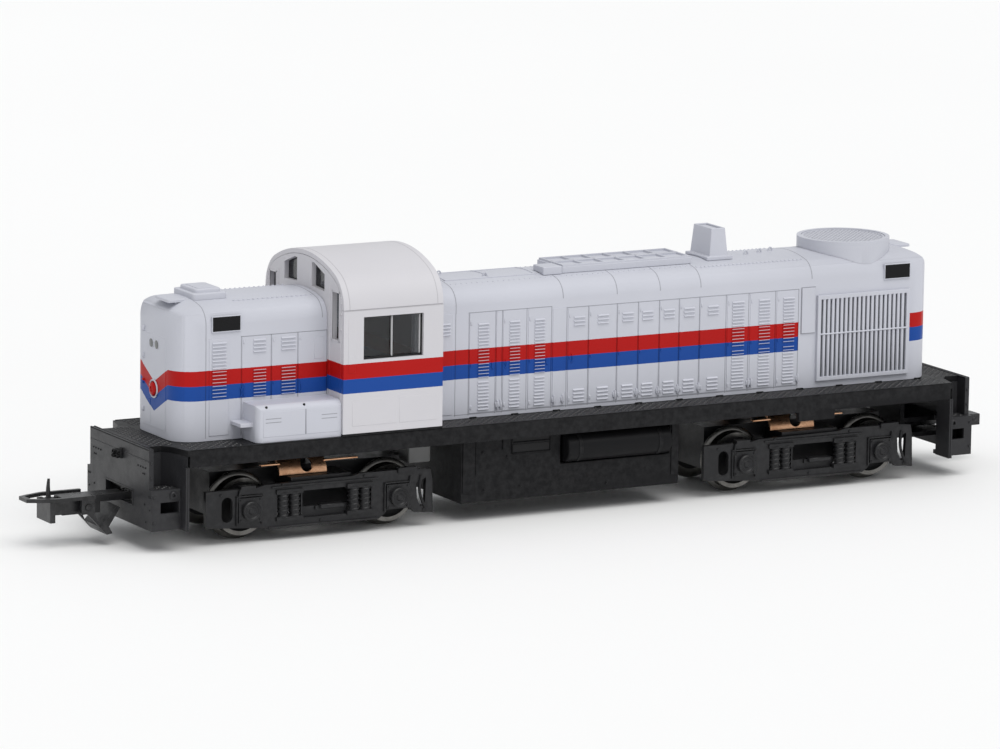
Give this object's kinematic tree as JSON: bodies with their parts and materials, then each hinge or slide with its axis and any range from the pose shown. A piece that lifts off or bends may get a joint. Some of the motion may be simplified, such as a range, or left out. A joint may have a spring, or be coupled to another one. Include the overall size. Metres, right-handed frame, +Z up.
{
  "type": "model diesel locomotive",
  "caption": "HO-scale road-switcher diesel locomotive model: hoods, hollow cab, deck and fuel tank on two swivelling four-wheel trucks, with a hook-and-loop coupler.",
  "frame": {"origin": "middle of the overall length and width, on the floor plane that the wheel flanges stand on", "axes": "+X forward, towards the short hood; +Y to the locomotive's left; +Z up"},
  "size_m": [0.219, 0.0346, 0.055],
  "materials": {
    "white_body": "satin white plastic with red and blue stripes printed on it",
    "cab_white": "satin warm white plastic with red and blue stripes printed on it",
    "black_chassis": "black moulded plastic, slightly shiny on edges",
    "pilot_grey": "dark grey moulded plastic",
    "black_board": "blank black plate",
    "lamp_lens": "clear plastic lens",
    "glazing": "clear smoked plastic glazing",
    "grille_white": "white plastic with dark slots",
    "motor_grey": "light grey moulded plastic",
    "weight_metal": "plain cast metal",
    "copper": "bare copper strip",
    "wheel_metal": "turned wheels, bright tread",
    "coupler_plastic": "black springy plastic"
  },
  "bodies": {
    "body": {"deck": "black_chassis", "front_pilot": "pilot_grey", "rear_pilot": "pilot_grey", "short_hood": "white_body", "long_hood": "white_body", "nose_visor": "white_body", "rear_visor": "white_body", "hood_hatch": "white_body", "roof_panel": "white_body", "horn_box": "white_body", "exhaust_stack": "white_body", "fan_shroud": "white_body", "fan_grille": "grille_white", "radiator_left": "grille_white", "radiator_right": "grille_white", "filter_panels": "grille_white", "number_boards": "black_board", "headlights": "lamp_lens", "cab_walls": "cab_white", "cab_roof": "cab_white", "cab_glazing": "glazing", "cab_floor": "black_chassis", "battery_box_left": "white_body", "battery_box_right": "white_body", "fuel_tank": "black_chassis", "air_reservoirs": "black_chassis", "drive_weight": "weight_metal", "motor_mount": "motor_grey", "coupler_pockets": "black_chassis"},
    "front_truck": {"front_truck_frame": "black_chassis", "front_sideframes": "black_chassis", "front_contacts": "copper"},
    "rear_truck": {"rear_truck_frame": "black_chassis", "rear_sideframes": "black_chassis", "rear_contacts": "copper"},
    "wheelset_1": {"wheelset_1": "wheel_metal"},
    "wheelset_2": {"wheelset_2": "wheel_metal"},
    "wheelset_3": {"wheelset_3": "wheel_metal"},
    "wheelset_4": {"wheelset_4": "wheel_metal"},
    "front_coupler": {"front_coupler": "coupler_plastic", "coupler_hook": "coupler_plastic"},
    "coupler_loop": {"coupler_loop": "coupler_plastic"},
    "rear_drawbar": {"rear_drawbar": "coupler_plastic"}
  },
  "joints": [
    {"name": "front_truck_swivel", "type": "hinge", "parent": "body", "child": "front_truck", "pos_m": [0.051, 0, 0.015], "axis": [0, 0, 1], "range_deg": [-5, 5]},
    {"name": "rear_truck_swivel", "type": "hinge", "parent": "body", "child": "rear_truck", "pos_m": [-0.0612, 0, 0.015], "axis": [0, 0, 1], "range_deg": [-5, 5]},
    {"name": "wheelset_1_spin", "type": "hinge", "parent": "front_truck", "child": "wheelset_1", "pos_m": [0.06725, 0, 0.0068], "axis": [0, 1, 0], "continuous": true},
    {"name": "wheelset_2_spin", "type": "hinge", "parent": "front_truck", "child": "wheelset_2", "pos_m": [0.03475, 0, 0.0068], "axis": [0, 1, 0], "continuous": true},
    {"name": "wheelset_3_spin", "type": "hinge", "parent": "rear_truck", "child": "wheelset_3", "pos_m": [-0.04495, 0, 0.0068], "axis": [0, 1, 0], "continuous": true},
    {"name": "wheelset_4_spin", "type": "hinge", "parent": "rear_truck", "child": "wheelset_4", "pos_m": [-0.07745, 0, 0.0068], "axis": [0, 1, 0], "continuous": true},
    {"name": "front_coupler_swivel", "type": "hinge", "parent": "body", "child": "front_coupler", "pos_m": [0.0809, 0, 0.0093], "axis": [0, 0, 1], "range_deg": [-8, 8]},
    {"name": "coupler_loop_lift", "type": "hinge", "parent": "front_coupler", "child": "coupler_loop", "pos_m": [0.0973, 0, 0.0081], "axis": [0, -1, 0], "range_deg": [0, 20]},
    {"name": "rear_drawbar_swivel", "type": "hinge", "parent": "body", "child": "rear_drawbar", "pos_m": [-0.0911, 0, 0.0093], "axis": [0, 0, 1], "range_deg": [-8, 8]}
  ]
}
